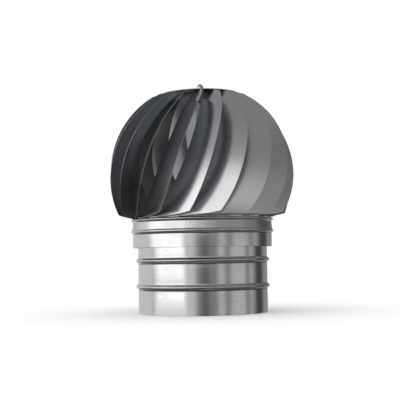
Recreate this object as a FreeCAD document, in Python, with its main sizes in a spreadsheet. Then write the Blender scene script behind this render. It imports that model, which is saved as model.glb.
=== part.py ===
import FreeCAD, Part

# A wind-driven chimney cowl: a globe of curved vanes on a skirt turns on a spindle
# that stands in a fixed neck. The origin is the middle of the neck's bottom edge.

import math
import os

import Sketcher
from FreeCAD import Placement, Rotation, Vector

doc = FreeCAD.newDocument("chimney_cowl")

# Driving sizes, in millimetres and degrees

DRIVING = {
    # neck
    "neck_radius": 75,
    "neck_height": 92,
    "sheet": 0.8,
    "bead_depth": 2.6,
    "bead_reach": 2.9,
    "low_bead_height": 31,
    "high_bead_height": 61,
    "rim_curl": 2.4,
    # skirt
    "skirt_clearance": 5.2,
    "skirt_base": 76,
    "skirt_length": 33.6,
    "skirt_bead_depth": 1.7,
    "skirt_bead_reach": 2.2,
    "skirt_bead_height": 94,
    "lip_depth": 1.9,
    "lip_reach": 2.1,
    # globe of vanes
    "globe_radius": 108,
    "globe_centre": 163,
    "crown_height": 93,
    "top_height": 256,
    "vane_count": 18,
    "vane_sheet": 0.6,
    "roll_radius": 207,
    "first_vane_turn": -43,
    "vane_hollow": 34,
    "lower_rise": 15,
    "lip_clearance": 0.4,
    "foot_width": 12,
    "foot_length": 12,
    "tab_start": 22,
    "tab_width": 8,
    "tab_length": 6,
    "fold_radius": 2,
    "corner_drop": 3,
    # top disc
    "disc_radius": 45.5,
    "disc_sheet": 0.8,
    "disc_hole_radius": 7,
    # spindle
    "spindle_radius": 5,
    "journal_radius": 4,
    "stud_radius": 2.5,
    "spindle_tail": 3,
    # ball bearing
    "bearing_radius": 11,
    "bearing_width": 7,
    "ball_radius": 1.95,
    "ball_count": 7,
    "ball_clearance": 0.05,
    "ring_wall": 2.2,
    "shield_sheet": 0.4,
    "shield_inset": 0.3,
    "shield_clearance": 0.4,
    "cage_height": 4.9,
    "cage_wall": 1,
    "cage_clearance": 0.1,
    # bearing housing
    "housing_wall": 1.5,
    "housing_flange_radius": 22.5,
    "rivet_count": 4,
    "rivet_radius": 1.6,
    "rivet_head_radius": 3,
    "rivet_head_height": 1.2,
    "rivet_circle_radius": 17.5,
    # top of the spindle
    "spacer_wall": 2.8,
    "spacer_proud": 1.2,
    "top_washer_radius": 5,
    "top_washer_thickness": 1,
    "dome_nut_flats": 8,
    "dome_nut_hex_height": 4,
    "dome_nut_height": 10,
    "dome_radius": 3.75,
    # bridges across the neck
    "bridge_thickness": 2.5,
    "bridge_width": 20,
    "bridge_flange": 11,
    "high_bridge_height": 76,
    "low_bridge_height": 42,
    "high_bridge_turn": 77,
    "low_bridge_turn": -13,
    # nuts and washers on the spindle
    "nut_flats": 16,
    "nut_height": 5,
    "washer_radius": 10,
    "washer_thickness": 1.6,
    # crossbar of the skirt
    "crossbar_thickness": 2,
    "crossbar_width": 12,
    "crossbar_flange": 9,
    "crossbar_height": 98,
    "bend_radius": 2,
    "strap_eye_radius": 12,
    "bush_wall": 2,
    "bush_flange_radius": 10,
    "bush_flange_thickness": 2,
    "bush_drop": 5,
    "bush_clearance": 0.05,
    # clearances
    "weld_clearance": 0.05,
    "fit_clearance": 0.05,
    "hole_clearance": 0.2,
    "end_chamfer": 0.8,
}

sizes = doc.addObject("Spreadsheet::Sheet", "sizes")
for row, (alias, number) in enumerate(DRIVING.items(), start=1):
    sizes.set(f"A{row}", alias)
    sizes.set(f"B{row}", str(number))
    sizes.setAlias(f"B{row}", alias)
doc.recompute()


def size(expression):
    """Value of an expression of the sheet's sizes."""
    return float(sizes.evalExpression(expression))


# Sizes worked out from the driving ones, as expressions of the sheet

NECK_INNER = "(sizes.neck_radius - sizes.sheet)"
SKIRT_INNER = "(sizes.neck_radius + sizes.skirt_clearance)"
SKIRT_OUTER = f"({SKIRT_INNER} + sizes.sheet)"
SKIRT_TOP = "(sizes.skirt_base + sizes.skirt_length)"
LIP_HEIGHT = f"({SKIRT_TOP} - sizes.lip_reach)"
DISC_UNDERSIDE = "(sizes.top_height - sizes.disc_sheet)"
FULL_TURN = 360

# Ways for an arc to bulge, seen along its edge. A long arc is more than half a turn.

LEFT = 1
RIGHT = -1
LEFT_LONG = 2
RIGHT_LONG = -2

# Basic steps that the pieces share


def bind(target, **expressions):
    """Tie properties of an object to expressions of the sheet."""
    for name, expression in expressions.items():
        target.setExpression(name, str(expression))


def new_body(name):
    """An empty body with its label."""
    body = doc.addObject("PartDesign::Body", name)
    body.Label = name
    return body


def arc_middle(start, end, radius, bulge):
    """Middle of the arc of a radius that joins two points and bulges one way."""
    chord = end - start
    root = math.sqrt(max(radius ** 2 - (chord.Length / 2) ** 2, 0))
    rise = radius + root if bulge in (LEFT_LONG, RIGHT_LONG) else radius - root
    across = Vector(-chord.y, chord.x, 0).normalize()
    return (start + end) / 2 + across * math.copysign(rise, bulge)


def outline(body, role, name, corners):
    """Closed, fully held sketch on one origin plane of the body.

    Each corner is (x, y) or (x, y, radius, bulge), all expressions but the bulge.
    With a radius, the edge that leaves the corner is an arc.
    """
    sketch = body.newObject("Sketcher::SketchObject", name)
    plane = next(f for f in body.Origin.OriginFeatures if f.Role == role)
    sketch.AttachmentSupport = [(plane, "")]
    sketch.MapMode = "FlatFace"
    places = [Vector(size(corner[0]), size(corner[1]), 0) for corner in corners]
    count = len(corners)
    edges = []
    for index, corner in enumerate(corners):
        start = places[index]
        end = places[(index + 1) % count]
        if len(corner) == 2:
            edges.append(Part.LineSegment(start, end))
        else:
            middle = arc_middle(start, end, size(corner[2]), corner[3])
            edges.append(Part.Arc(start, middle, end))
    sketch.addGeometry(edges, False)
    # an arc that runs clockwise keeps its start as its second end
    ends = []
    for index, start in enumerate(places):
        first = sketch.getPoint(index, 1)
        ends.append((1, 2) if first.distanceToPoint(start) < 1e-6 else (2, 1))
    for index in range(count):
        following = (index + 1) % count
        joint = Sketcher.Constraint("Coincident", index, ends[index][1], following, ends[following][0])
        sketch.addConstraint(joint)
    for index, corner in enumerate(corners):
        for kind, expression in zip(("DistanceX", "DistanceY"), corner):
            held = Sketcher.Constraint(kind, index, ends[index][0], size(expression))
            number = sketch.addConstraint(held)
            sketch.setExpression(f"Constraints[{number}]", expression)
        if len(corner) == 4:
            number = sketch.addConstraint(Sketcher.Constraint("Radius", index, size(corner[2])))
            sketch.setExpression(f"Constraints[{number}]", corner[2])
    return sketch


def circle(body, role, name, radius, x="0", y="0"):
    """Sketch of one circle, held at (x, y)."""
    sketch = body.newObject("Sketcher::SketchObject", name)
    plane = next(f for f in body.Origin.OriginFeatures if f.Role == role)
    sketch.AttachmentSupport = [(plane, "")]
    sketch.MapMode = "FlatFace"
    centre = Vector(size(x), size(y), 0)
    sketch.addGeometry(Part.Circle(centre, Vector(0, 0, 1), size(radius)), False)
    for kind, expression in (("DistanceX", x), ("DistanceY", y)):
        number = sketch.addConstraint(Sketcher.Constraint(kind, 0, 3, size(expression)))
        sketch.setExpression(f"Constraints[{number}]", expression)
    number = sketch.addConstraint(Sketcher.Constraint("Radius", 0, size(radius)))
    sketch.setExpression(f"Constraints[{number}]", radius)
    return sketch


def revolve(body, sketch, name, cut=False):
    """Full turn of a sketch about the upright axis, added or cut."""
    kind = "PartDesign::Groove" if cut else "PartDesign::Revolution"
    feature = body.newObject(kind, name)
    feature.Profile = sketch
    feature.ReferenceAxis = (sketch, ["V_Axis"])
    feature.Angle = FULL_TURN
    return feature


def cut_through(body, sketch, name, backwards=False):
    """Pocket right through the body on one side of its sketch."""
    before = volume_of(body)
    pocket = body.newObject("PartDesign::Pocket", name)
    pocket.Profile = sketch
    pocket.Type = "ThroughAll"
    pocket.Reversed = backwards
    after = volume_of(body)
    if after >= before:
        raise RuntimeError(f"{body.Label}: {name} cuts nothing")
    return pocket


def volume_of(body):
    """Volume of a body as built so far."""
    doc.recompute()
    return body.Shape.Volume


def turned(name, corners):
    """Body that is one full turn of an outline in the upright plane."""
    body = new_body(name)
    sketch = outline(body, "XZ_Plane", f"{name}_section", corners)
    revolve(body, sketch, f"{name}_turn")
    return body


def turn_about_axis(target, angle):
    """Turn an object about the cowl's axis by an angle expression."""
    target.Placement = Placement(Vector(), Rotation(Vector(0, 0, 1), size(angle)))
    target.setExpression("Placement.Rotation.Angle", angle)


# Rolled sheet tubes with swaged beads


def bead_radius(depth, reach):
    """Radius of the arc of a bead from its depth and half its height."""
    return f"(({reach})^2 + ({depth})^2) / (2 * ({depth}))"


def bead_hollow(depth, reach):
    """A bead's hollow inside the tube: half its height, its radius and its bulge."""
    inner = f"({bead_radius(depth, reach)} - sizes.sheet)"
    half = f"sqrt({inner}^2 - ({inner} - ({depth}))^2)"
    bulge = LEFT_LONG if size(inner) < size(depth) else LEFT
    return half, inner, bulge


def beaded_tube(outer, base, top, beads):
    """Section of a rolled tube. Each bead is (height, depth, half its height)."""
    inner = f"({outer} - sizes.sheet)"
    corners = [(inner, base), (outer, base)]
    for height, depth, reach in beads:
        radius = bead_radius(depth, reach)
        corners.append((outer, f"{height} - {reach}", radius, RIGHT))
        corners.append((outer, f"{height} + {reach}"))
    corners.append((outer, top))
    corners.append((inner, top))
    for height, depth, reach in reversed(beads):
        half, radius, bulge = bead_hollow(depth, reach)
        corners.append((inner, f"{height} + {half}", radius, bulge))
        corners.append((inner, f"{height} - {half}"))
    return corners


def make_neck():
    """Collar that fits the flue, with two beads and a top rim rolled inwards."""
    outer = "sizes.neck_radius"
    inner = NECK_INNER
    rim = "(sizes.neck_height - sizes.rim_curl)"
    corners = beaded_tube(outer, "0", rim, (
        ("sizes.low_bead_height", "sizes.bead_depth", "sizes.bead_reach"),
        ("sizes.high_bead_height", "sizes.bead_depth", "sizes.bead_reach"),
    ))
    # the rim bends inwards by a quarter turn
    bend = next(i for i, corner in enumerate(corners) if corner[:2] == (outer, rim))
    corners[bend] = (outer, rim, "sizes.rim_curl", RIGHT)
    corners[bend + 1] = (f"{outer} - sizes.rim_curl", "sizes.neck_height")
    lip = f"{outer} - 2 * sizes.rim_curl"
    under = "sizes.neck_height - sizes.sheet"
    corners[bend + 2:bend + 2] = [
        (lip, "sizes.neck_height"),
        (lip, under),
        (f"{outer} - sizes.rim_curl", under, "sizes.rim_curl - sizes.sheet", LEFT),
        (inner, rim),
    ]
    turned("neck", corners)


def make_skirt():
    """Ring under the vanes, with one bead and a rolled top lip."""
    corners = beaded_tube(SKIRT_OUTER, "sizes.skirt_base", SKIRT_TOP, (
        ("sizes.skirt_bead_height", "sizes.skirt_bead_depth", "sizes.skirt_bead_reach"),
    ))
    # the lip is a bead whose upper foot is the ring's top edge
    top = corners.index((SKIRT_OUTER, SKIRT_TOP))
    lip_radius = bead_radius("sizes.lip_depth", "sizes.lip_reach")
    half, inner_radius, bulge = bead_hollow("sizes.lip_depth", "sizes.lip_reach")
    corners[top:top + 2] = [
        (SKIRT_OUTER, f"{LIP_HEIGHT} - sizes.lip_reach", lip_radius, RIGHT),
        (SKIRT_OUTER, SKIRT_TOP),
        (SKIRT_INNER, SKIRT_TOP),
        (SKIRT_INNER, f"{LIP_HEIGHT} + {half}", inner_radius, bulge),
        (SKIRT_INNER, f"{LIP_HEIGHT} - {half}"),
    ]
    turned("skirt", corners)


# The vanes: each is a sheet rolled about a level line, trimmed at its free edge by
# the globe and at its inner edge by one long arc

FOOT_HALF = "(sizes.foot_width / 2)"
FOOT_FACE = f"(sqrt({SKIRT_INNER}^2 - {FOOT_HALF}^2) - sizes.weld_clearance)"
ROLL_START = f"({SKIRT_TOP} + sizes.lip_clearance)"
ROLL_MIDDLE = f"(sizes.roll_radius - {FOOT_FACE})"
ROLL_INNER = "(sizes.roll_radius - sizes.vane_sheet)"
FOLD_OUTER = "(sizes.fold_radius + sizes.vane_sheet)"
ROLL_TO_FOLD = f"(sizes.roll_radius - {FOLD_OUTER})"
FOLD_SINE = f"(({DISC_UNDERSIDE} - {ROLL_START} - {FOLD_OUTER}) / {ROLL_TO_FOLD})"
FOLD_COSINE = f"sqrt(1 - {FOLD_SINE}^2)"
FOLD_PLACE = f"({ROLL_MIDDLE} - {ROLL_TO_FOLD} * {FOLD_COSINE})"
TAB_TIP = f"({FOLD_PLACE} + sizes.tab_length)"
TAB_END = "(sizes.tab_start + sizes.tab_width)"
BEYOND = "(2 * sizes.globe_radius)"


def globe_radius_at(rise):
    """Radius of the globe at a rise from its centre."""
    return f"sqrt(sizes.globe_radius^2 - ({rise})^2)"


def vane_section():
    """Section of the rolled sheet: foot, roll, fold and top tab."""
    inner_foot = f"-{FOOT_FACE} + sizes.vane_sheet"
    foot_base = f"{ROLL_START} - sizes.foot_length"
    tab_under = f"{DISC_UNDERSIDE} - sizes.vane_sheet"
    return [
        (f"-{FOOT_FACE}", foot_base),
        (f"-{FOOT_FACE}", ROLL_START, "sizes.roll_radius", LEFT),
        (f"{ROLL_MIDDLE} - sizes.roll_radius * {FOLD_COSINE}",
         f"{ROLL_START} + sizes.roll_radius * {FOLD_SINE}", FOLD_OUTER, LEFT),
        (FOLD_PLACE, DISC_UNDERSIDE),
        (TAB_TIP, DISC_UNDERSIDE),
        (TAB_TIP, tab_under),
        (FOLD_PLACE, tab_under, "sizes.fold_radius", RIGHT),
        (f"{ROLL_MIDDLE} - {ROLL_INNER} * {FOLD_COSINE}",
         f"{ROLL_START} + {ROLL_INNER} * {FOLD_SINE}", ROLL_INNER, RIGHT),
        (inner_foot, ROLL_START),
        (inner_foot, foot_base),
    ]


def beyond_globe():
    """Section of what lies outside the vanes' free edges.

    The part above the globe's centre stretches with the top's height, and is a true ball
    where the top stands at the crown height above the centre.
    """
    corner_height = f"({DISC_UNDERSIDE} - sizes.corner_drop)"
    stretch = "(sizes.top_height - sizes.globe_centre) / sizes.crown_height"
    return [
        (globe_radius_at(f"{SKIRT_TOP} - sizes.globe_centre"), SKIRT_TOP, "sizes.globe_radius", RIGHT),
        (globe_radius_at(f"({corner_height} - sizes.globe_centre) / ({stretch})"), corner_height),
        ("sizes.disc_radius", DISC_UNDERSIDE),
        ("sizes.disc_radius", f"{DISC_UNDERSIDE} + sizes.corner_drop"),
        (BEYOND, f"{DISC_UNDERSIDE} + sizes.corner_drop"),
        (BEYOND, SKIRT_TOP),
    ]


def behind_inner_edge():
    """Outline of what is cut from the sheet behind its inner edge."""
    top = f"({DISC_UNDERSIDE} + sizes.corner_drop)"
    rise = f"({top} - {ROLL_START})"
    across = f"(sizes.tab_start + {FOOT_HALF})"
    half_chord_squared = f"(({rise}^2 + {across}^2) / 4)"
    radius = f"(({half_chord_squared} + sizes.vane_hollow^2) / (2 * sizes.vane_hollow))"
    return [
        (f"-{FOOT_HALF}", ROLL_START, radius, RIGHT),
        ("sizes.tab_start", top),
        (f"-{BEYOND}", top),
        (f"-{BEYOND}", ROLL_START),
    ]


def under_lower_edge():
    """Outline of what is cut below the sloping lower edge, beside the foot."""
    base = f"{ROLL_START} - 2 * sizes.foot_length"
    return [
        (FOOT_HALF, base),
        (BEYOND, base),
        (BEYOND, f"{ROLL_START} + sizes.lower_rise * {BEYOND} / sizes.globe_radius"),
        (FOOT_HALF, ROLL_START),
    ]


def beside_tab():
    """Outline, seen from above, of the fold that is cut away beside the tab."""
    tip = f"{TAB_TIP} + sizes.tab_length"
    return [
        (TAB_END, FOLD_PLACE),
        (BEYOND, FOLD_PLACE),
        (BEYOND, tip),
        (TAB_END, tip),
    ]


def make_vane(number):
    """One vane, turned to its place in the globe."""
    name = f"vane_{number + 1:02d}"
    body = new_body(name)
    section = outline(body, "YZ_Plane", f"{name}_section", vane_section())
    section.setExpression("AttachmentOffset.Base.z", f"-{FOOT_HALF}")
    pad = body.newObject("PartDesign::Pad", f"{name}_sheet")
    pad.Profile = section
    bind(pad, Length=f"{FOOT_HALF} + sizes.globe_radius")
    free_edge = outline(body, "XZ_Plane", f"{name}_free_edge", beyond_globe())
    revolve(body, free_edge, f"{name}_trim", cut=True)
    inner_edge = outline(body, "XZ_Plane", f"{name}_inner_edge", behind_inner_edge())
    cut_through(body, inner_edge, f"{name}_hollow", backwards=True)
    lower_edge = outline(body, "XZ_Plane", f"{name}_lower_edge", under_lower_edge())
    cut_through(body, lower_edge, f"{name}_slope", backwards=True)
    tab_side = outline(body, "XY_Plane", f"{name}_tab_side", beside_tab())
    cut_through(body, tab_side, f"{name}_tab", backwards=True)
    turn_about_axis(body, f"sizes.first_vane_turn + {number} * {FULL_TURN} / sizes.vane_count")


# Top disc and the bearing housing riveted under it

BEARING_TOP = DISC_UNDERSIDE
BEARING_BASE = f"({BEARING_TOP} - sizes.bearing_width)"
HOUSING_BASE = f"({BEARING_BASE} - sizes.housing_wall)"
HOUSING_INNER = "(sizes.bearing_radius + sizes.fit_clearance)"
HOUSING_OUTER = f"({HOUSING_INNER} + sizes.housing_wall)"
HOUSING_FLANGE = f"({DISC_UNDERSIDE} - sizes.housing_wall)"
OUTER_LAND = "(sizes.bearing_radius - sizes.ring_wall)"
INNER_LAND = "(sizes.journal_radius + sizes.fit_clearance + sizes.ring_wall)"


def rivet_holes(body, name):
    """Ring of rivet holes, cut through the body and repeated round the axis."""
    radius = "sizes.rivet_radius + sizes.fit_clearance"
    hole = circle(body, "XY_Plane", f"{name}_hole", radius, x="sizes.rivet_circle_radius")
    pocket = cut_through(body, hole, f"{name}_holes", backwards=True)
    ring = body.newObject("PartDesign::PolarPattern", f"{name}_ring")
    ring.Originals = [pocket]
    ring.Axis = (hole, ["N_Axis"])
    ring.Angle = FULL_TURN
    bind(ring, Occurrences="sizes.rivet_count")
    body.Tip = ring


def make_top_disc():
    """Flat disc that closes the globe, with holes for the spindle and the rivets."""
    disc = turned("top_disc", [
        ("sizes.disc_hole_radius", DISC_UNDERSIDE),
        ("sizes.disc_radius", DISC_UNDERSIDE),
        ("sizes.disc_radius", "sizes.top_height"),
        ("sizes.disc_hole_radius", "sizes.top_height"),
    ])
    rivet_holes(disc, "top_disc")


def make_bearing_housing():
    """Flanged cup whose floor carries the bearing's outer ring."""
    housing = turned("bearing_housing", [
        (OUTER_LAND, HOUSING_BASE),
        (HOUSING_OUTER, HOUSING_BASE),
        (HOUSING_OUTER, HOUSING_FLANGE),
        ("sizes.housing_flange_radius", HOUSING_FLANGE),
        ("sizes.housing_flange_radius", DISC_UNDERSIDE),
        (HOUSING_INNER, DISC_UNDERSIDE),
        (HOUSING_INNER, BEARING_BASE),
        (OUTER_LAND, BEARING_BASE),
    ])
    rivet_holes(housing, "bearing_housing")


def group(name, members):
    """One sub-part made of like solids that stay separate."""
    compound = doc.addObject("Part::Compound", name)
    compound.Label = name
    compound.Links = members
    return compound


def primitive(kind, name, height, **expressions):
    """Part primitive on the axis, with its base at a height."""
    shape = doc.addObject(f"Part::{kind}", name)
    bind(shape, **expressions)
    shape.setExpression("Placement.Base.z", height)
    return shape


def make_housing_rivets():
    """Rivets through the disc and the housing's flange, with a head at each end."""
    rivets = []
    for number in range(int(size("sizes.rivet_count"))):
        name = f"housing_rivet_{number + 1}"
        pieces = [
            primitive("Cylinder", f"{name}_shank", HOUSING_FLANGE, Radius="sizes.rivet_radius",
                      Height="sizes.disc_sheet + sizes.housing_wall"),
            primitive("Cone", f"{name}_head", "sizes.top_height", Radius1="sizes.rivet_head_radius",
                      Radius2="sizes.rivet_radius", Height="sizes.rivet_head_height"),
            primitive("Cone", f"{name}_tail", f"{HOUSING_FLANGE} - sizes.rivet_head_height",
                      Radius1="sizes.rivet_radius", Radius2="sizes.rivet_head_radius",
                      Height="sizes.rivet_head_height"),
        ]
        for piece in pieces:
            piece.setExpression("Placement.Base.x", "sizes.rivet_circle_radius")
        rivet = doc.addObject("Part::MultiFuse", name)
        rivet.Shapes = pieces
        turn_about_axis(rivet, f"{number} * {FULL_TURN} / sizes.rivet_count")
        rivets.append(rivet)
    group("housing_rivets", rivets)


# The ball bearing: its outer ring turns with the housing, its inner ring stays

BALL_CIRCLE = "((sizes.bearing_radius + sizes.journal_radius) / 2)"
BEARING_MIDDLE = f"({BEARING_BASE} + sizes.bearing_width / 2)"
RACE = "(sizes.ball_radius + sizes.ball_clearance)"


def race_half_width(land):
    """Half the width of a race where it meets the ring's land."""
    return f"sqrt({RACE}^2 - ({BALL_CIRCLE} - {land})^2)"


def make_bearing_rings():
    """Inner and outer rings, each with its grooved race."""
    inner_half = race_half_width(INNER_LAND)
    bore = "sizes.journal_radius + sizes.fit_clearance"
    turned("bearing_inner_ring", [
        (bore, BEARING_BASE),
        (INNER_LAND, BEARING_BASE),
        (INNER_LAND, f"{BEARING_MIDDLE} - {inner_half}", RACE, LEFT),
        (INNER_LAND, f"{BEARING_MIDDLE} + {inner_half}"),
        (INNER_LAND, BEARING_TOP),
        (bore, BEARING_TOP),
    ])
    outer_half = race_half_width(OUTER_LAND)
    turned("bearing_outer_ring", [
        (OUTER_LAND, BEARING_BASE),
        ("sizes.bearing_radius", BEARING_BASE),
        ("sizes.bearing_radius", BEARING_TOP),
        (OUTER_LAND, BEARING_TOP),
        (OUTER_LAND, f"{BEARING_MIDDLE} + {outer_half}", RACE, LEFT),
        (OUTER_LAND, f"{BEARING_MIDDLE} - {outer_half}"),
    ])


def make_bearing_balls():
    """Ring of balls between the races."""
    balls = []
    for number in range(int(size("sizes.ball_count"))):
        ball = doc.addObject("Part::Sphere", f"bearing_ball_{number + 1}")
        bind(ball, Radius="sizes.ball_radius")
        angle = f"{number} * {FULL_TURN} deg / sizes.ball_count"
        ball.setExpression("Placement.Base.x", f"{BALL_CIRCLE} * cos({angle})")
        ball.setExpression("Placement.Base.y", f"{BALL_CIRCLE} * sin({angle})")
        ball.setExpression("Placement.Base.z", BEARING_MIDDLE)
        balls.append(ball)
    group("bearing_balls", balls)


def make_bearing_cage():
    """Thin ring with a round window for each ball."""
    inner = f"{BALL_CIRCLE} - sizes.cage_wall / 2"
    outer = f"{BALL_CIRCLE} + sizes.cage_wall / 2"
    base = f"{BEARING_MIDDLE} - sizes.cage_height / 2"
    top = f"{BEARING_MIDDLE} + sizes.cage_height / 2"
    cage = turned("bearing_cage", [(inner, base), (outer, base), (outer, top), (inner, top)])
    window = circle(cage, "YZ_Plane", "bearing_cage_window",
                    "sizes.ball_radius + sizes.cage_clearance", y=BEARING_MIDDLE)
    pocket = cut_through(cage, window, "bearing_cage_pocket", backwards=True)
    ring = cage.newObject("PartDesign::PolarPattern", "bearing_cage_ring")
    ring.Originals = [pocket]
    ring.Axis = (window, ["V_Axis"])
    ring.Angle = FULL_TURN
    bind(ring, Occurrences="sizes.ball_count")
    cage.Tip = ring


def make_bearing_shields():
    """Two thin rings that close the bearing, held by its outer ring."""
    inner = f"{INNER_LAND} + sizes.shield_clearance"
    outer = f"{OUTER_LAND} - sizes.fit_clearance"
    shields = []
    for name, base in (
        ("lower_shield", f"({BEARING_BASE} + sizes.shield_inset)"),
        ("upper_shield", f"({BEARING_TOP} - sizes.shield_inset - sizes.shield_sheet)"),
    ):
        top = f"{base} + sizes.shield_sheet"
        shields.append(turned(name, [(inner, base), (outer, base), (outer, top), (inner, top)]))
    group("bearing_shields", shields)


# The spindle and what is clamped on its top end

WASHER_BASE = "(sizes.top_height + sizes.spacer_proud)"
DOME_NUT_BASE = f"({WASHER_BASE} + sizes.top_washer_thickness)"
STUD_HOLE_TOP = f"({DOME_NUT_BASE} + (sizes.dome_nut_hex_height + sizes.dome_nut_height) / 2)"
STUD_TOP = f"({STUD_HOLE_TOP} - sizes.end_chamfer)"
STUD_BORE = "(sizes.stud_radius + sizes.fit_clearance)"
SPINDLE_BASE = ("(sizes.low_bridge_height - sizes.washer_thickness - sizes.nut_height"
                " - sizes.spindle_tail)")


def make_spindle():
    """Stepped shaft: plain below, a journal for the bearing and a stud at the top."""
    shaft = "sizes.spindle_radius"
    stud = "sizes.stud_radius"
    turned("spindle", [
        ("0", SPINDLE_BASE),
        (f"{shaft} - sizes.end_chamfer", SPINDLE_BASE),
        (shaft, f"{SPINDLE_BASE} + sizes.end_chamfer"),
        (shaft, BEARING_BASE),
        ("sizes.journal_radius", BEARING_BASE),
        ("sizes.journal_radius", BEARING_TOP),
        (stud, BEARING_TOP),
        (stud, f"{STUD_TOP} - sizes.end_chamfer"),
        (f"{stud} - sizes.end_chamfer", STUD_TOP),
        ("0", STUD_TOP),
    ])


def make_ring(name, inner, outer, base, top):
    """Plain turned ring."""
    return turned(name, [(inner, base), (outer, base), (outer, top), (inner, top)])


def hexagon(body, name, flats, base, height):
    """Six-sided prism on the axis, its corners turned down at both ends."""
    across = f"({flats} / 2)"
    corner = f"({flats} / sqrt(3))"
    half_side = f"({corner} / 2)"
    sketch = outline(body, "XY_Plane", f"{name}_flats", [
        (corner, "0"),
        (half_side, across),
        (f"-{half_side}", across),
        (f"-{corner}", "0"),
        (f"-{half_side}", f"-{across}"),
        (half_side, f"-{across}"),
    ])
    sketch.setExpression("AttachmentOffset.Base.z", base)
    pad = body.newObject("PartDesign::Pad", f"{name}_block")
    pad.Profile = sketch
    bind(pad, Length=height)
    drop = f"(({corner} - {across}) * tan(30 deg))"
    ends = (
        ("under", base, f"{base} + {drop}"),
        ("over", f"({base} + {height})", f"({base} + {height}) - {drop}"),
    )
    for end, face, shoulder in ends:
        before = volume_of(body)
        chamfer = outline(body, "XZ_Plane", f"{name}_{end}", [
            (across, face),
            (corner, shoulder),
            (f"2 * {corner}", shoulder),
            (f"2 * {corner}", face),
        ])
        revolve(body, chamfer, f"{name}_{end}_chamfer", cut=True)
        if volume_of(body) >= before:
            raise RuntimeError(f"{name}: chamfer {end} cuts nothing")


def make_dome_nut():
    """Cap nut: hexagon, dome and blind hole for the stud."""
    body = new_body("dome_nut")
    hexagon(body, "dome_nut", "sizes.dome_nut_flats", DOME_NUT_BASE, "sizes.dome_nut_hex_height")
    top = f"({DOME_NUT_BASE} + sizes.dome_nut_height)"
    dome = outline(body, "XZ_Plane", "dome_nut_dome", [
        ("0", f"{DOME_NUT_BASE} + sizes.end_chamfer"),
        ("sizes.dome_radius", f"{DOME_NUT_BASE} + sizes.end_chamfer"),
        ("sizes.dome_radius", f"{top} - sizes.dome_radius", "sizes.dome_radius", RIGHT),
        ("0", top),
    ])
    revolve(body, dome, "dome_nut_cap")
    bore = outline(body, "XZ_Plane", "dome_nut_bore", [
        ("0", DOME_NUT_BASE),
        (STUD_BORE, DOME_NUT_BASE),
        (STUD_BORE, STUD_HOLE_TOP),
        ("0", STUD_HOLE_TOP),
    ])
    revolve(body, bore, "dome_nut_hole", cut=True)


def make_spindle_nuts():
    """A nut and a washer above and below each bridge."""
    nuts = []
    washers = []
    bore = "sizes.spindle_radius + sizes.fit_clearance"
    for bridge in ("low", "high"):
        under = f"sizes.{bridge}_bridge_height"
        over = f"({under} + sizes.bridge_thickness)"
        stacks = (
            (f"{bridge}_lower", f"({under} - sizes.washer_thickness)",
             f"({under} - sizes.washer_thickness - sizes.nut_height)"),
            (f"{bridge}_upper", over, f"({over} + sizes.washer_thickness)"),
        )
        for name, washer_base, nut_base in stacks:
            washers.append(make_ring(f"{name}_washer", bore, "sizes.washer_radius", washer_base,
                                     f"{washer_base} + sizes.washer_thickness"))
            nut = new_body(f"{name}_nut")
            hexagon(nut, f"{name}_nut", "sizes.nut_flats", nut_base, "sizes.nut_height")
            hole = circle(nut, "XY_Plane", f"{name}_nut_bore", bore)
            cut_through(nut, hole, f"{name}_nut_hole", backwards=True)
            nuts.append(nut)
    group("spindle_nuts", nuts)
    group("spindle_washers", washers)


# Straps: the two bridges across the neck and the crossbar across the skirt


def make_strap(name, wall, base, thickness, width, flange, bore, turn):
    """Flat strap with a round eye, its ends bent up and trimmed to a round wall."""
    body = new_body(name)
    reach = f"({wall} - sizes.weld_clearance)"
    outer_bend = f"(sizes.bend_radius + {thickness})"
    bend_start = f"({reach} - {outer_bend})"
    inner_face = f"({reach} - {thickness})"
    bend_top = f"({base} + {outer_bend})"
    flange_top = f"({base} + {flange})"
    web_top = f"({base} + {thickness})"
    section = outline(body, "XZ_Plane", f"{name}_section", [
        (f"-{bend_start}", base),
        (bend_start, base, outer_bend, RIGHT),
        (reach, bend_top),
        (reach, flange_top),
        (inner_face, flange_top),
        (inner_face, bend_top, "sizes.bend_radius", LEFT),
        (bend_start, web_top),
        (f"-{bend_start}", web_top, "sizes.bend_radius", LEFT),
        (f"-{inner_face}", bend_top),
        (f"-{inner_face}", flange_top),
        (f"-{reach}", flange_top),
        (f"-{reach}", bend_top, outer_bend, RIGHT),
    ])
    pad = body.newObject("PartDesign::Pad", f"{name}_strip")
    pad.Profile = section
    pad.SideType = "Symmetric"
    bind(pad, Length=width)
    eye = circle(body, "XY_Plane", f"{name}_eye_outline", "sizes.strap_eye_radius")
    eye.setExpression("AttachmentOffset.Base.z", base)
    eye_pad = body.newObject("PartDesign::Pad", f"{name}_eye")
    eye_pad.Profile = eye
    bind(eye_pad, Length=thickness)
    wall_side = outline(body, "XZ_Plane", f"{name}_wall_side", [
        (reach, f"{base} - {flange}"),
        (f"2 * {reach}", f"{base} - {flange}"),
        (f"2 * {reach}", f"{base} + 2 * {flange}"),
        (reach, f"{base} + 2 * {flange}"),
    ])
    revolve(body, wall_side, f"{name}_ends", cut=True)
    hole = circle(body, "XY_Plane", f"{name}_bore", bore)
    cut_through(body, hole, f"{name}_hole", backwards=True)
    turn_about_axis(body, turn)


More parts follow.
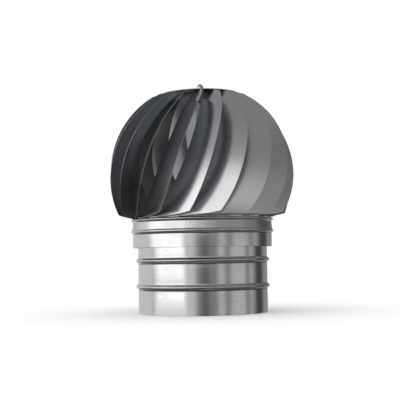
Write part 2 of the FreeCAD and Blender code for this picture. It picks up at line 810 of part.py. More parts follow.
def make_straps():
    """Both bridges of the neck and the crossbar of the skirt."""
    spindle_hole = "sizes.spindle_radius + sizes.hole_clearance"
    for name, level in (("upper_bridge", "high"), ("lower_bridge", "low")):
        make_strap(name, NECK_INNER, f"sizes.{level}_bridge_height", "sizes.bridge_thickness",
                   "sizes.bridge_width", "sizes.bridge_flange", spindle_hole,
                   f"sizes.{level}_bridge_turn")
    # the crossbar's ends lie midway between two vane feet, which stand a quarter turn on
    midway = f"sizes.first_vane_turn + {FULL_TURN / 4} + 1.5 * {FULL_TURN} / sizes.vane_count"
    make_strap("crossbar", SKIRT_INNER, "sizes.crossbar_height", "sizes.crossbar_thickness",
               "sizes.crossbar_width", "sizes.crossbar_flange",
               f"{BUSH_OUTER} + sizes.fit_clearance", midway)


BUSH_BORE = "(sizes.spindle_radius + sizes.bush_clearance)"
BUSH_OUTER = f"({BUSH_BORE} + sizes.bush_wall)"


def make_guide_bush():
    """Flanged bush in the crossbar, which runs on the spindle."""
    base = "(sizes.crossbar_height - sizes.bush_drop)"
    seat = "(sizes.crossbar_height + sizes.crossbar_thickness)"
    top = f"({seat} + sizes.bush_flange_thickness)"
    turned("guide_bush", [
        (BUSH_BORE, base),
        (BUSH_OUTER, base),
        (BUSH_OUTER, seat),
        ("sizes.bush_flange_radius", seat),
        ("sizes.bush_flange_radius", top),
        (BUSH_BORE, top),
    ])


def make_clamped_stack():
    """Spacer on the inner ring and the washer under the dome nut."""
    make_ring("bearing_spacer", STUD_BORE, f"{STUD_BORE} + sizes.spacer_wall", BEARING_TOP,
              WASHER_BASE)
    make_ring("top_washer", STUD_BORE, "sizes.top_washer_radius", WASHER_BASE, DOME_NUT_BASE)


# The fixed half

make_neck()
make_straps()
make_spindle()
make_spindle_nuts()
make_clamped_stack()
make_dome_nut()

# The turning half

make_skirt()
for vane_number in range(int(size("sizes.vane_count"))):
    make_vane(vane_number)
make_top_disc()
make_bearing_housing()
make_housing_rivets()
make_bearing_rings()
make_bearing_balls()
make_bearing_cage()
make_bearing_shields()
make_guide_bush()

doc.recompute()

# Check the whole document, then write one file for each sub-part

for item in doc.Objects:
    if "Invalid" in item.State or "Error" in item.State:
        raise RuntimeError(f"{item.Label} failed: {item.State}")

grouped = [member for item in doc.Objects if item.TypeId == "Part::Compound" for member in item.Links]
sub_parts = [item for item in doc.Objects
             if item.TypeId in ("PartDesign::Body", "Part::Compound") and item not in grouped]

for sub_part in sub_parts:
    if sub_part.Shape.isNull() or not sub_part.Shape.isValid():
        raise RuntimeError(f"{sub_part.Label} has no valid shape")

os.makedirs("parts", exist_ok=True)
for sub_part in sub_parts:
    sub_part.Shape.exportStep(f"parts/{sub_part.Label}.step")
    print(sub_part.Label, len(sub_part.Shape.Solids), round(sub_part.Shape.Volume, 1))
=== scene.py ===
import logging
import math
from dataclasses import dataclass, field
from enum import Enum

import bmesh
import bpy
from mathutils import Matrix, Vector


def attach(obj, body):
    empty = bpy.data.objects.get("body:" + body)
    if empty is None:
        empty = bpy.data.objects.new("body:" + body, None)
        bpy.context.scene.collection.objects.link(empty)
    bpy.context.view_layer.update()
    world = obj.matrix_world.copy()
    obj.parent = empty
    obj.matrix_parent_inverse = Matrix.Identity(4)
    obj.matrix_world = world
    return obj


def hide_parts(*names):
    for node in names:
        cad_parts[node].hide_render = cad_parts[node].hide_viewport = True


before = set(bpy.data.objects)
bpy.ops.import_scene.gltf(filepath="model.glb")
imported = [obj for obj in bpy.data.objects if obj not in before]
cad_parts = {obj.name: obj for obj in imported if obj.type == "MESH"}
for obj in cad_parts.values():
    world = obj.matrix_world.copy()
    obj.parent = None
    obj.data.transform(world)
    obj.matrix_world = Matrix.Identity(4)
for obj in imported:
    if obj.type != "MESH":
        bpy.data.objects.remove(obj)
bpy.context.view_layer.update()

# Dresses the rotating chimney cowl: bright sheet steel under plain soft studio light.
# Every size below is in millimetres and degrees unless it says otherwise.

log = logging.getLogger("cowl")

MM = 0.001
FULL_TURN = 2 * math.pi
Socket = bpy.types.NodeSocket
Colour = tuple[float, float, float]


# Node work


class Bench:
    """Adds nodes to one tree and joins them."""

    def __init__(self, tree: bpy.types.NodeTree) -> None:
        """Keeps the tree that the nodes go into."""
        self.tree = tree

    def node(self, kind: str, **settings: object) -> bpy.types.Node:
        """Adds one node.

        Args:
            kind: Blender's name of the node type.
            settings: Properties to set on it.

        Returns:
            The new node.
        """
        made = self.tree.nodes.new(kind)
        for name, value in settings.items():
            setattr(made, name, value)
        return made

    def feed(self, socket: Socket, value: object) -> None:
        """Joins an input to another socket, or sets its own value."""
        if isinstance(value, Socket):
            self.tree.links.new(value, socket)
        else:
            socket.default_value = value

    def maths(self, operation: str, *values: object, clamp: bool = False) -> Socket:
        """Result of one arithmetic step on sockets or numbers."""
        made = self.node("ShaderNodeMath", operation=operation, use_clamp=clamp)
        for socket, value in zip(made.inputs, values):
            self.feed(socket, value)
        return made.outputs[0]

    def smooth(self, value: object, low: object, high: object, start: float = 0.0,
               end: float = 1.0) -> Socket:
        """Smooth step of a value.

        Args:
            value: What is mapped.
            low: Value at which the step starts.
            high: Value at which it ends.
            start: Result below the step.
            end: Result above it.

        Returns:
            The stepped value.
        """
        made = self.node("ShaderNodeMapRange", interpolation_type="SMOOTHSTEP")
        for name, given in (("Value", value), ("From Min", low), ("From Max", high),
                            ("To Min", start), ("To Max", end)):
            self.feed(made.inputs[name], given)
        return made.outputs[0]

    def split(self, vector: Socket) -> tuple[Socket, Socket, Socket]:
        """The three parts of a vector."""
        made = self.node("ShaderNodeSeparateXYZ")
        self.feed(made.inputs[0], vector)
        return made.outputs[0], made.outputs[1], made.outputs[2]

    def stretch(self, vector: Socket, scale: object) -> Socket:
        """A vector scaled part by part."""
        made = self.node("ShaderNodeVectorMath", operation="MULTIPLY")
        self.feed(made.inputs[0], vector)
        self.feed(made.inputs[1], scale)
        return made.outputs[0]

    def noise(self, vector: Socket, scale: object, detail: float, roughness: float) -> Socket:
        """Noise from 0 to 1, about 0.5 on average."""
        made = self.node("ShaderNodeTexNoise", noise_dimensions="3D")
        self.feed(made.inputs["Vector"], vector)
        self.feed(made.inputs["Scale"], scale)
        made.inputs["Detail"].default_value = detail
        made.inputs["Roughness"].default_value = roughness
        return made.outputs[0]

    def blend(self, share: object, first: object, second: object) -> Socket:
        """A colour between two, by a share from 0 to 1."""
        made = self.node("ShaderNodeMix", data_type="RGBA")
        self.feed(made.inputs[0], share)
        self.feed(made.inputs[6], first)
        self.feed(made.inputs[7], second)
        return made.outputs[2]


class Effect(Enum):
    """Effects that more than one finish uses."""

    ROLLING_GRAIN = "rolling_grain"
    HANDLING_MARKS = "handling_marks"
    SHEET_WAVES = "sheet_waves"
    WELD_MARKS = "weld_marks"
    PAINTED_SHADE_LINE = "painted_shade_line"
    LAP_SEAM = "lap_seam"
    PAINTED_DEEP_SHADE = "painted_deep_shade"


class Effects:
    """Shader node groups, each built the first time it is placed."""

    def __init__(self) -> None:
        """Starts with no group built."""
        self.trees: dict[Effect, bpy.types.NodeTree] = {}

    def place(self, bench: Bench, effect: Effect, **values: object) -> bpy.types.Node:
        """Places a group in a material.

        Args:
            bench: The material's bench.
            effect: Which group.
            values: What its inputs get, by name with underscores for spaces.

        Returns:
            The group node.
        """
        if effect not in self.trees:
            self.trees[effect] = getattr(self, f"_{effect.value}")()
        made = bench.node("ShaderNodeGroup", node_tree=self.trees[effect])
        for name, value in values.items():
            bench.feed(made.inputs[name.replace("_", " ")], value)
        return made

    @staticmethod
    def _start(name: str, inputs: dict[str, str], outputs: tuple[str, ...]) -> tuple:
        """A new group with its sockets, its bench and both end nodes."""
        tree = bpy.data.node_groups.new(name, "ShaderNodeTree")
        for label, kind in inputs.items():
            tree.interface.new_socket(label, in_out="INPUT", socket_type=kind)
        for label in outputs:
            tree.interface.new_socket(label, in_out="OUTPUT", socket_type="NodeSocketFloat")
        bench = Bench(tree)
        given = bench.node("NodeGroupInput")
        result = bench.node("NodeGroupOutput")
        return tree, bench, given.outputs, result.inputs

    def _rolling_grain(self) -> bpy.types.NodeTree:
        """Fine streaks along the way that the sheet was rolled."""
        tree, bench, given, result = self._start(
            "rolling_grain", {"Vector": "NodeSocketVector", "Stretch": "NodeSocketVector"},
            ("Mask", "Height"))
        along = bench.stretch(given["Vector"], given["Stretch"])
        fine = bench.noise(along, 1.0, 2.0, 0.6)
        broad = bench.noise(along, 0.23, 3.0, 0.65)
        mask = bench.maths("MULTIPLY_ADD", fine, 0.45, bench.maths("MULTIPLY", broad, 0.55))
        bench.feed(result["Mask"], mask)
        bench.feed(result["Height"], bench.maths("MULTIPLY_ADD", mask, 2.0, -1.0))
        return tree

    def _handling_marks(self) -> bpy.types.NodeTree:
        """Soft clouds and smears that handling leaves on bright sheet."""
        tree, bench, given, result = self._start(
            "handling_marks", {"Vector": "NodeSocketVector", "Size": "NodeSocketFloat"}, ("Mask",))
        cloud = bench.noise(given["Vector"], given["Size"], 5.0, 0.62)
        smear = bench.noise(bench.stretch(given["Vector"], (1.0, 1.0, 3.5)),
                            bench.maths("MULTIPLY", given["Size"], 3.1), 4.0, 0.7)
        both = bench.maths("MULTIPLY", bench.smooth(cloud, 0.38, 0.68), bench.smooth(smear, 0.3, 0.75))
        bench.feed(result["Mask"], both)
        return tree

    def _sheet_waves(self) -> bpy.types.NodeTree:
        """The slow waves of thin sheet, which bend what it mirrors."""
        tree, bench, given, result = self._start(
            "sheet_waves", {"Vector": "NodeSocketVector", "Size": "NodeSocketFloat"}, ("Height",))
        broad = bench.noise(given["Vector"], given["Size"], 1.0, 0.4)
        small = bench.noise(given["Vector"], bench.maths("MULTIPLY", given["Size"], 3.7), 0.0, 0.5)
        total = bench.maths("MULTIPLY_ADD", small, 0.22, broad)
        bench.feed(result["Height"], bench.maths("SUBTRACT", total, 0.61))
        return tree

    @staticmethod
    def _round(bench: Bench, vector: Socket, turn: Socket, every: float) -> tuple[Socket, Socket]:
        """Distance round the axis from the nearest repeat of a turn, and the height."""
        x, y, z = bench.split(vector)
        angle = bench.maths("SUBTRACT", bench.maths("ARCTAN2", y, x), turn)
        nearest = bench.maths("WRAP", angle, every / 2, -every / 2)
        radius = bench.maths("SQRT", bench.maths("MULTIPLY_ADD", x, x, bench.maths("MULTIPLY", y, y)))
        return bench.maths("MULTIPLY", nearest, radius), z

    def _weld_marks(self) -> bpy.types.NodeTree:
        """Two small spot welds side by side, on both sides of the tube."""
        tree, bench, given, result = self._start(
            "weld_marks", {"Vector": "NodeSocketVector", "Turn": "NodeSocketFloat",
                           "Level": "NodeSocketFloat", "Gap": "NodeSocketFloat",
                           "Size": "NodeSocketFloat"}, ("Mask", "Height"))
        arc, z = self._round(bench, given["Vector"], given["Turn"], math.pi)
        across = bench.maths("SUBTRACT", bench.maths("ABSOLUTE", arc),
                             bench.maths("MULTIPLY", given["Gap"], 0.5))
        up = bench.maths("SUBTRACT", z, given["Level"])
        away = bench.maths("SQRT", bench.maths("MULTIPLY_ADD", across, across,
                                               bench.maths("MULTIPLY", up, up)))
        share = bench.maths("DIVIDE", away, given["Size"])
        bench.feed(result["Mask"], bench.smooth(share, 1.5, 0.9))
        dent = bench.smooth(share, 0.95, 0.55)
        ring = bench.maths("MULTIPLY", bench.smooth(share, 0.7, 1.0), bench.smooth(share, 1.35, 1.05))
        bench.feed(result["Height"], bench.maths("SUBTRACT", bench.maths("MULTIPLY", ring, 0.4), dent))
        return tree

    def _painted_shade_line(self) -> bpy.types.NodeTree:
        """Painted shade: a dark, patchy line at a level, standing in for the shade under a bead or an edge."""
        tree, bench, given, result = self._start(
            "painted_shade_line", {"Vector": "NodeSocketVector", "Level": "NodeSocketFloat",
                         "Width": "NodeSocketFloat"}, ("Mask",))
        z = bench.split(given["Vector"])[2]
        patchy = bench.noise(given["Vector"], 55.0, 3.0, 0.6)
        away = bench.maths("ABSOLUTE", bench.maths("SUBTRACT", z, given["Level"]))
        line = bench.smooth(bench.maths("DIVIDE", away, given["Width"]), 1.0, 0.25)
        bench.feed(result["Mask"], bench.maths("MULTIPLY", line, bench.smooth(patchy, 0.15, 0.5, 0.55, 1.0)))
        return tree

    def _lap_seam(self) -> bpy.types.NodeTree:
        """Lap of a rolled tube: a step at one turn and a row of spot welds beside it."""
        tree, bench, given, result = self._start(
            "lap_seam", {"Vector": "NodeSocketVector", "Turn": "NodeSocketFloat",
                         "Pitch": "NodeSocketFloat"}, ("Mask", "Height"))
        arc, z = self._round(bench, given["Vector"], given["Turn"], FULL_TURN)
        step = bench.maths("MULTIPLY", bench.smooth(arc, -0.0003, 0.0003), bench.smooth(arc, 0.045, 0.002))
        half = bench.maths("MULTIPLY", given["Pitch"], 0.5)
        up = bench.maths("WRAP", z, half, bench.maths("MULTIPLY", half, -1.0))
        across = bench.maths("SUBTRACT", arc, 0.006)
        away = bench.maths("SQRT", bench.maths("MULTIPLY_ADD", across, across,
                                               bench.maths("MULTIPLY", up, up)))
        dent = bench.smooth(away, 0.0021, 0.0012)
        line = bench.smooth(bench.maths("ABSOLUTE", arc), 0.0006, 0.0001)
        bench.feed(result["Mask"], bench.maths("MAXIMUM", line, bench.smooth(away, 0.0032, 0.0018, 0.0, 0.5)))
        bench.feed(result["Height"], bench.maths("SUBTRACT", step, dent))
        return tree

    def _painted_deep_shade(self) -> bpy.types.NodeTree:
        """Painted shade that grows darker from an outer to an inner radius about a point of the axis."""
        tree, bench, given, result = self._start(
            "painted_deep_shade", {"Vector": "NodeSocketVector", "Level": "NodeSocketFloat",
                          "Outer": "NodeSocketFloat", "Inner": "NodeSocketFloat"}, ("Mask",))
        x, y, z = bench.split(given["Vector"])
        z = bench.maths("SUBTRACT", z, given["Level"])
        square = bench.maths("MULTIPLY_ADD", x, x, bench.maths("MULTIPLY_ADD", y, y, bench.maths("MULTIPLY", z, z)))
        bench.feed(result["Mask"], bench.smooth(bench.maths("SQRT", square), given["Outer"], given["Inner"]))
        return tree


# Finishes


class Grain(Enum):
    """Which way the grain of a finish runs, as a stretch of its coordinates per metre."""

    ROUND = (26.0, 26.0, 2600.0)
    UPRIGHT = (2300.0, 24.0, 1.0)
    LATHE = (90.0, 90.0, 4200.0)
    CAST = (900.0, 900.0, 900.0)


@dataclass(frozen=True)
class PaintedShadeLine:
    """A painted shade line round a tube, at a level and with half its width, where shade falls under a bead or an
    edge.
    """

    level: float
    width: float


@dataclass(frozen=True)
class WeldPair:
    """Two spot welds at a turn from +X and half a turn on, at a level."""

    turn: float
    level: float
    gap: float = 4.5
    size: float = 1.1


@dataclass(frozen=True)
class PaintedHollowShade:
    """Painted shade deep inside the globe: its middle height, the radii it fades between, its share."""

    height: float
    outer: float
    inner: float
    share: float


@dataclass(frozen=True)
class MetalFinish:
    """A bare metal surface with its grain, waves, marks and joints, and any painted shade lines and deep painted
    shade.
    """

    name: str
    colour: Colour
    # Colour that handling marks and joints darken towards, and painted shade too.
    tarnish_and_shade: Colour
    roughness: float
    grain: Grain
    grain_depth: float = 0.0015
    wave_depth: float = 0.0
    wave_size: float = 22.0
    mark_share: float = 0.35
    mark_size: float = 28.0
    uneven: float = 0.12
    painted_shade_lines: tuple[PaintedShadeLine, ...] = ()
    welds: tuple[WeldPair, ...] = ()
    seam_turn: float | None = None
    hollow_shade: PaintedHollowShade | None = None

    def make(self, effects: Effects) -> bpy.types.Material:
        """Builds the material.

        Args:
            effects: Where its node groups come from.

        Returns:
            The material.
        """
        material = bpy.data.materials.new(self.name)
        material.use_nodes = True
        material.node_tree.nodes.clear()
        bench = Bench(material.node_tree)
        given = bench.node("ShaderNodeTexCoord")
        spot = given.outputs["Object"]
        along = given.outputs["UV"] if self.grain is Grain.UPRIGHT else spot
        grain = effects.place(bench, Effect.ROLLING_GRAIN, Vector=along, Stretch=self.grain.value)
        marks = effects.place(bench, Effect.HANDLING_MARKS, Vector=spot, Size=self.mark_size)
        height = bench.maths("MULTIPLY", grain.outputs["Height"], self.grain_depth)
        dark = bench.maths("MULTIPLY", marks.outputs["Mask"], self.mark_share)
        if self.wave_depth:
            waves = effects.place(bench, Effect.SHEET_WAVES, Vector=spot, Size=self.wave_size)
            height = bench.maths("MULTIPLY_ADD", waves.outputs["Height"], self.wave_depth, height)
        # Painted shade: dark lines under the beads and along the vanes' feet.
        for line in self.painted_shade_lines:
            painted_line = effects.place(bench, Effect.PAINTED_SHADE_LINE, Vector=spot, Level=line.level * MM,
                                Width=line.width * MM)
            dark = bench.maths("MAXIMUM", dark, painted_line.outputs["Mask"])
        for pair in self.welds:
            weld = effects.place(bench, Effect.WELD_MARKS, Vector=spot, Turn=math.radians(pair.turn),
                                 Level=pair.level * MM, Gap=pair.gap * MM, Size=pair.size * MM)
            height = bench.maths("MULTIPLY_ADD", weld.outputs["Height"], 0.05, height)
            dark = bench.maths("MAXIMUM", dark, bench.maths("MULTIPLY", weld.outputs["Mask"], 0.15))
        if self.seam_turn is not None:
            seam = effects.place(bench, Effect.LAP_SEAM, Vector=spot, Turn=math.radians(self.seam_turn),
                                 Pitch=11.0 * MM)
            height = bench.maths("MULTIPLY_ADD", seam.outputs["Height"], 0.15, height)
            dark = bench.maths("MAXIMUM", dark, bench.maths("MULTIPLY", seam.outputs["Mask"], 0.6))
        # Painted shade: darker deeper inside the hollow of the globe.
        if self.hollow_shade:
            deep = effects.place(bench, Effect.PAINTED_DEEP_SHADE, Vector=spot, Level=self.hollow_shade.height * MM,
                                 Outer=self.hollow_shade.outer * MM, Inner=self.hollow_shade.inner * MM)
            dark = bench.maths("MAXIMUM", dark, bench.maths("MULTIPLY", deep.outputs["Mask"], self.hollow_shade.share))
        bump = bench.node("ShaderNodeBump")
        bump.inputs["Strength"].default_value = 1.0
        bump.inputs["Distance"].default_value = MM
        bench.feed(bump.inputs["Height"], height)
        shader = bench.node("ShaderNodeBsdfPrincipled")
        shader.inputs["Metallic"].default_value = 1.0
        shader.inputs["IOR"].default_value = 1.5
        bench.feed(shader.inputs["Base Color"],
                   bench.blend(dark, (*self.colour, 1.0), (*self.tarnish_and_shade, 1.0)))
        rough = bench.maths("MULTIPLY_ADD", marks.outputs["Mask"], self.uneven, self.roughness)
        rough = bench.maths("MULTIPLY_ADD", grain.outputs["Mask"], 0.06, rough, clamp=True)
        bench.feed(shader.inputs["Roughness"], rough)
        bench.feed(shader.inputs["Normal"], bump.outputs["Normal"])
        result = bench.node("ShaderNodeOutputMaterial")
        bench.feed(result.inputs["Surface"], shader.outputs[0])
        return material


@dataclass(frozen=True)
class MouldedFinish:
    """Moulded plastic with a faint grain and worn, darker patches."""

    name: str
    colour: Colour
    soil: Colour
    roughness: float

    def make(self, effects: Effects) -> bpy.types.Material:
        """Builds the material from the effects' groups."""
        material = bpy.data.materials.new(self.name)
        material.use_nodes = True
        material.node_tree.nodes.clear()
        bench = Bench(material.node_tree)
        spot = bench.node("ShaderNodeTexCoord").outputs["Object"]
        grain = effects.place(bench, Effect.ROLLING_GRAIN, Vector=spot, Stretch=Grain.CAST.value)
        marks = effects.place(bench, Effect.HANDLING_MARKS, Vector=spot, Size=90.0)
        bump = bench.node("ShaderNodeBump")
        bump.inputs["Distance"].default_value = MM
        bench.feed(bump.inputs["Height"], bench.maths("MULTIPLY", grain.outputs["Height"], 0.01))
        shader = bench.node("ShaderNodeBsdfPrincipled")
        bench.feed(shader.inputs["Base Color"],
                   bench.blend(marks.outputs["Mask"], (*self.colour, 1.0), (*self.soil, 1.0)))
        bench.feed(shader.inputs["Roughness"],
                   bench.maths("MULTIPLY_ADD", grain.outputs["Mask"], 0.15, self.roughness))
        bench.feed(shader.inputs["Normal"], bump.outputs["Normal"])
        bench.feed(bench.node("ShaderNodeOutputMaterial").inputs["Surface"], shader.outputs[0])
        return material


class FinishBook:
    """Every finish of the cowl, made once and looked up by its slot in the record."""

    FINISHES = (
        # Collar: painted shade lines just under both beads.
        MetalFinish("collar_sheet", (0.80, 0.80, 0.80), (0.32, 0.30, 0.27), 0.10, Grain.ROUND,
                    grain_depth=0.0018, wave_depth=0.07, mark_share=0.14,
                    painted_shade_lines=(PaintedShadeLine(27.3, 0.9), PaintedShadeLine(57.3, 0.8)),
                    welds=(WeldPair(-13, 49.5), WeldPair(77, 83.5)), seam_turn=118),
        # Skirt: a painted shade line just under its lower bead.
        MetalFinish("skirt_sheet", (0.80, 0.80, 0.80), (0.32, 0.30, 0.27), 0.11, Grain.ROUND,
                    grain_depth=0.0018, wave_depth=0.06, mark_share=0.14,
                    painted_shade_lines=(PaintedShadeLine(91.2, 0.6),), welds=(WeldPair(79.2, 103.2, gap=5.0),), seam_turn=100),
        # Vanes: a painted shade line along their feet above the skirt's lip, and painted shade deep inside the globe.
        MetalFinish("vane_sheet", (0.75, 0.755, 0.77), (0.30, 0.30, 0.30), 0.19, Grain.UPRIGHT,
                    grain_depth=0.0005, wave_depth=0.05, wave_size=11.0, mark_share=0.02,
                    uneven=0.01, painted_shade_lines=(PaintedShadeLine(110.9, 1.9),), hollow_shade=PaintedHollowShade(163, 98, 80, 0.45)),
        MetalFinish("cut_edge", (0.48, 0.48, 0.49), (0.30, 0.30, 0.30), 0.40, Grain.CAST,
                    mark_share=0.3),
        MetalFinish("disc_sheet", (0.74, 0.74, 0.75), (0.30, 0.30, 0.30), 0.22, Grain.ROUND,
                    wave_depth=0.06, mark_share=0.35),
        MetalFinish("strap_steel", (0.60, 0.60, 0.61), (0.26, 0.25, 0.24), 0.34, Grain.CAST,
                    grain_depth=0.004, mark_share=0.5, uneven=0.2),
        MetalFinish("spindle_steel", (0.70, 0.70, 0.71), (0.33, 0.31, 0.29), 0.22, Grain.LATHE,
                    grain_depth=0.002, mark_share=0.3),
        MetalFinish("zinc_fastener", (0.76, 0.77, 0.80), (0.45, 0.45, 0.44), 0.26, Grain.CAST,
                    grain_depth=0.003, mark_share=0.45, mark_size=160.0),
        MetalFinish("bearing_steel", (0.82, 0.82, 0.84), (0.40, 0.38, 0.35), 0.08, Grain.LATHE,
                    grain_depth=0.0008, mark_share=0.2, mark_size=120.0),
        MetalFinish("cage_brass", (0.78, 0.60, 0.28), (0.36, 0.26, 0.12), 0.3, Grain.LATHE,
                    mark_share=0.4, mark_size=120.0),
        MetalFinish("housing_steel", (0.62, 0.62, 0.63), (0.28, 0.27, 0.26), 0.3, Grain.LATHE,
                    grain_depth=0.003, mark_share=0.35, mark_size=60.0),
        MetalFinish("rivet_aluminium", (0.80, 0.81, 0.82), (0.45, 0.45, 0.45), 0.32, Grain.CAST,
                    grain_depth=0.004, mark_share=0.5, mark_size=220.0),
        MouldedFinish("bush_nylon", (0.80, 0.79, 0.73), (0.52, 0.49, 0.42), 0.42),
    )

    def __init__(self, effects: Effects) -> None:
        """Makes each finish's material."""
        self.materials = {finish.name: finish.make(effects) for finish in self.FINISHES}

    def __getitem__(self, name: str) -> bpy.types.Material:
        """The material of a finish."""
        return self.materials[name]


# Mesh work


def put(name: str, work: bmesh.types.BMesh, materials: tuple[bpy.types.Material, ...], body: str,
        nodes: tuple[str, ...]) -> bpy.types.Object:
    """Turns a bmesh into a piece that rides on a body.

    Args:
        name: Name of the piece.
        work: Its mesh in the row's frame, freed here.
        materials: Its materials in order.
        body: The CAD body that it rides on.
        nodes: The CAD nodes that it stands for.

    Returns:
        The new object.
    """
    mesh = bpy.data.meshes.new(name)
    work.to_mesh(mesh)
    work.free()
    for material in materials:
        mesh.materials.append(material)
    mesh.shade_smooth()
    piece = bpy.data.objects.new(name, mesh)
    bpy.context.scene.collection.objects.link(piece)
    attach(piece, body)
    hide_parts(*nodes)
    log.info("%s: %d faces, on %s, for %s", name, len(mesh.polygons), body, ", ".join(nodes))
    return piece


def thicken(piece: bpy.types.Object, wall: float) -> None:
    """Gives a shell its wall, inwards, with the second material on its cut edges."""
    made = piece.modifiers.new("wall", "SOLIDIFY")
    made.thickness = wall * MM
    made.offset = -1.0
    made.use_even_offset = True
    made.material_offset_rim = 1


def ease(piece: bpy.types.Object, width: float, angle: float = 40.0, segments: int = 2) -> None:
    """Rounds a piece's sharp edges a little, so that they catch the light."""
    made = piece.modifiers.new("eased_edges", "BEVEL")
    made.width = width * MM
    made.segments = segments
    made.limit_method = "ANGLE"
    made.angle_limit = math.radians(angle)
    made.harden_normals = True


@dataclass(frozen=True)
class Bead:
    """A bead swaged out of a tube: its middle height, its depth and half its height.

    The band above it may flare: it starts wider by the flare and narrows upwards.
    """

    height: float
    depth: float
    reach: float
    crest: float = 1.5
    flare: float = 0.0

    def tip(self) -> float:
        """How far the bead's sharp crest stands out before it is rounded."""
        return self.depth * self.crest

    def rounding(self) -> float:
        """Width to round the crest by, so that it ends at the bead's depth."""
        half = math.atan2(self.reach, self.tip())
        return (self.tip() - self.depth) * math.cos(half) / (1 - math.sin(half))


@dataclass
class BeadedTube:
    """A rolled sheet tube with swaged beads, made as a spun shell."""

    name: str
    node: str
    body: str
    slot: str
    outer: float
    base: float
    top: float
    wall: float
    beads: tuple[Bead, ...]
    foot_rounding: float = 0.9
    rim_curl: float = 0.0
    bow: float = 0.0
    steps: int = 160

    def band(self, low: float, high: float, flare: float) -> list[tuple[float, float]]:
        """Corners along a plain band, which swaging its edges leaves a little bowed.

        Args:
            low: Height at which it starts.
            high: Height at which it ends.
            flare: How much wider it starts.

        Returns:
            Its corners between its ends, as radius and height.
        """
        return [(self.outer + self.bow * 4 * share * (1 - share) + flare * (1 - share),
                 low + (high - low) * share) for share in (0.1, 0.3, 0.5, 0.7, 0.9)]

    def outline(self) -> list[tuple[float, float]]:
        """Corners of the outer skin from the base up, as radius and height."""
        corners = [(self.outer, self.base)]
        flare = 0.0
        for bead in self.beads:
            foot = bead.height - bead.reach
            corners += self.band(corners[-1][1], foot, flare)
            flare = bead.flare
            corners += [(self.outer, foot), (self.outer + bead.tip(), bead.height),
                        (self.outer + flare, bead.height + bead.reach)]
        if self.rim_curl:
            corners += self.band(corners[-1][1], self.top - 2 * self.rim_curl, flare)
            corners += [(self.outer, self.top), (self.outer - 2 * self.rim_curl, self.top)]
        return corners

    def spin(self, work: bmesh.types.BMesh) -> None:
        """Spins the outline into a shell whose faces point outwards."""
        chain = [work.verts.new(Vector((radius, 0, height)) * MM) for radius, height in self.outline()]
        for first, second in zip(chain, chain[1:]):
            work.edges.new((first, second))
        bmesh.ops.spin(work, geom=work.verts[:] + work.edges[:], cent=(0, 0, 0), axis=(0, 0, 1),
                       dvec=(0, 0, 0), angle=FULL_TURN, steps=self.steps, use_merge=True,
                       use_normal_flip=False, use_duplicate=False)
        bmesh.ops.remove_doubles(work, verts=work.verts[:], dist=0.01 * MM)
        work.normal_update()
        side = max(work.faces, key=lambda face: face.calc_area())
        middle = side.calc_center_median()
        if side.normal.dot(Vector((middle.x, middle.y, 0))) < 0:
            bmesh.ops.reverse_faces(work, faces=work.faces[:])

    def round_ring(self, work: bmesh.types.BMesh, radius: float, height: float, width: float,
                   segments: int) -> None:
        """Rounds the ring of edges at a radius and height.

        Args:
            work: The shell.
            radius: Radius of the ring.
            height: Its height.
            width: Width of the rounding.
            segments: Faces across it.
        """
        def on_ring(vert: bmesh.types.BMVert) -> bool:
            """True if a vertex is on the ring."""
            return (abs(vert.co.z - height * MM) < 1e-6
                    and abs(vert.co.xy.length - radius * MM) < 1e-5)

        ring = [edge for edge in work.edges if all(on_ring(vert) for vert in edge.verts)]
        bmesh.ops.bevel(work, geom=ring, offset=width * MM, offset_type="OFFSET", segments=segments,
                        profile=0.5, affect="EDGES", material=-1, clamp_overlap=True)

    def build(self, book: FinishBook) -> bpy.types.Object:
        """Builds and dresses the tube."""
        work = bmesh.new()
        self.spin(work)
        for bead in self.beads:
            self.round_ring(work, self.outer + bead.tip(), bead.height, bead.rounding(), 8)
            self.round_ring(work, self.outer, bead.height - bead.reach, self.foot_rounding, 4)
            if bead.height + bead.reach < self.top:
                self.round_ring(work, self.outer + bead.flare, bead.height + bead.reach,
                                self.foot_rounding, 4)
        if self.rim_curl:
            self.round_ring(work, self.outer, self.top, self.rim_curl, 6)
        piece = put(self.name, work, (book[self.slot], book["cut_edge"]), self.body, (self.node,))
        thicken(piece, self.wall)
        ease(piece, 0.12, angle=50.0)
        return piece


